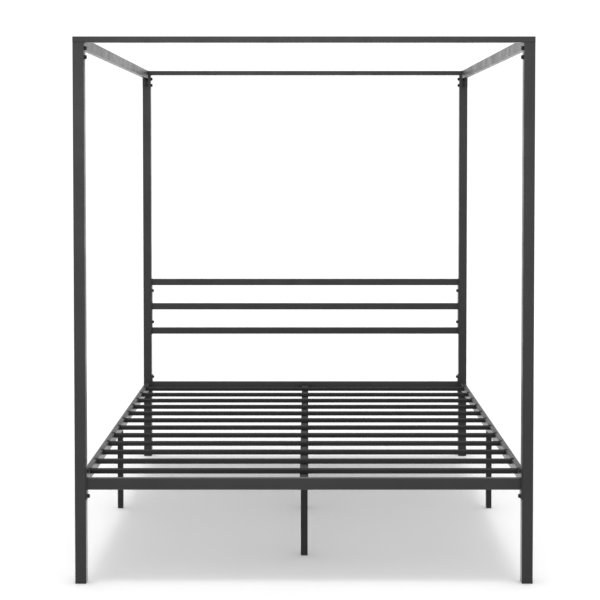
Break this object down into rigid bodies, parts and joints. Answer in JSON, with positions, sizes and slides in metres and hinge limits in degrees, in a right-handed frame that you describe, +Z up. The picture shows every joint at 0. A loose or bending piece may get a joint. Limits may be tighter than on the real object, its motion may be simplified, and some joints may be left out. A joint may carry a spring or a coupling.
{
  "type": "four poster canopy bed",
  "caption": "Four poster canopy bed of slim square steel tube, with a flat open canopy, a horizontal bar headboard and a slatted base on legs.",
  "frame": {"origin": "on the floor, under the middle of the bed", "axes": "+Z up, +Y from the foot to the headboard, +X to the right as seen from the foot end"},
  "size_m": [1.557, 2.12, 1.857],
  "materials": {
    "bolts": "black oxide steel",
    "canopy": "semi-matte charcoal powder coat",
    "caps": "black polyethylene",
    "centre_rail": "semi-matte charcoal powder coat",
    "clips": "black polyethylene",
    "headboard": "semi-matte charcoal powder coat",
    "inserts": "zinc plated steel",
    "legs": "semi-matte charcoal powder coat",
    "plates": "semi-matte charcoal powder coat",
    "posts": "semi-matte charcoal powder coat",
    "rails": "semi-matte charcoal powder coat",
    "slats": "semi-matte charcoal powder coat",
    "stubs": "semi-matte charcoal powder coat",
    "washers": "black oxide steel"
  },
  "bodies": {
    "root": {"bolts": "bolts", "canopy_end_plugs": "caps", "canopy_foot_beam": "canopy", "canopy_head_beam": "canopy", "canopy_left_beam": "canopy", "canopy_right_beam": "canopy", "canopy_side_plates": "plates", "canopy_stubs": "stubs", "centre_leg_foot": "legs", "centre_leg_foot_cap": "caps", "centre_leg_head": "legs", "centre_leg_head_cap": "caps", "centre_leg_middle": "legs", "centre_leg_middle_cap": "caps", "centre_rail": "centre_rail", "centre_rail_plates": "plates", "end_rail_plates": "plates", "flat_washers": "washers", "foot_rail": "rails", "head_rail": "rails", "headboard_bottom_bar": "headboard", "headboard_middle_bar": "headboard", "headboard_plates": "plates", "headboard_top_bar": "headboard", "left_side_rail": "rails", "leg_studs": "inserts", "leg_top_plugs": "caps", "post_cap_foot_left": "caps", "post_cap_foot_right": "caps", "post_cap_head_left": "caps", "post_cap_head_right": "caps", "post_foot_left": "posts", "post_foot_right": "posts", "post_head_left": "posts", "post_head_right": "posts", "post_inserts": "inserts", "rail_inserts": "inserts", "right_side_rail": "rails", "side_leg_left": "legs", "side_leg_left_cap": "caps", "side_leg_right": "legs", "side_leg_right_cap": "caps", "side_rail_plates": "plates", "slat_01": "slats", "slat_02": "slats", "slat_03": "slats", "slat_04": "slats", "slat_05": "slats", "slat_06": "slats", "slat_07": "slats", "slat_08": "slats", "slat_09": "slats", "slat_10": "slats", "slat_11": "slats", "slat_12": "slats", "slat_clips_left": "clips", "slat_clips_right": "clips", "spring_washers": "washers", "stub_inserts": "inserts"}
  },
  "joints": []
}
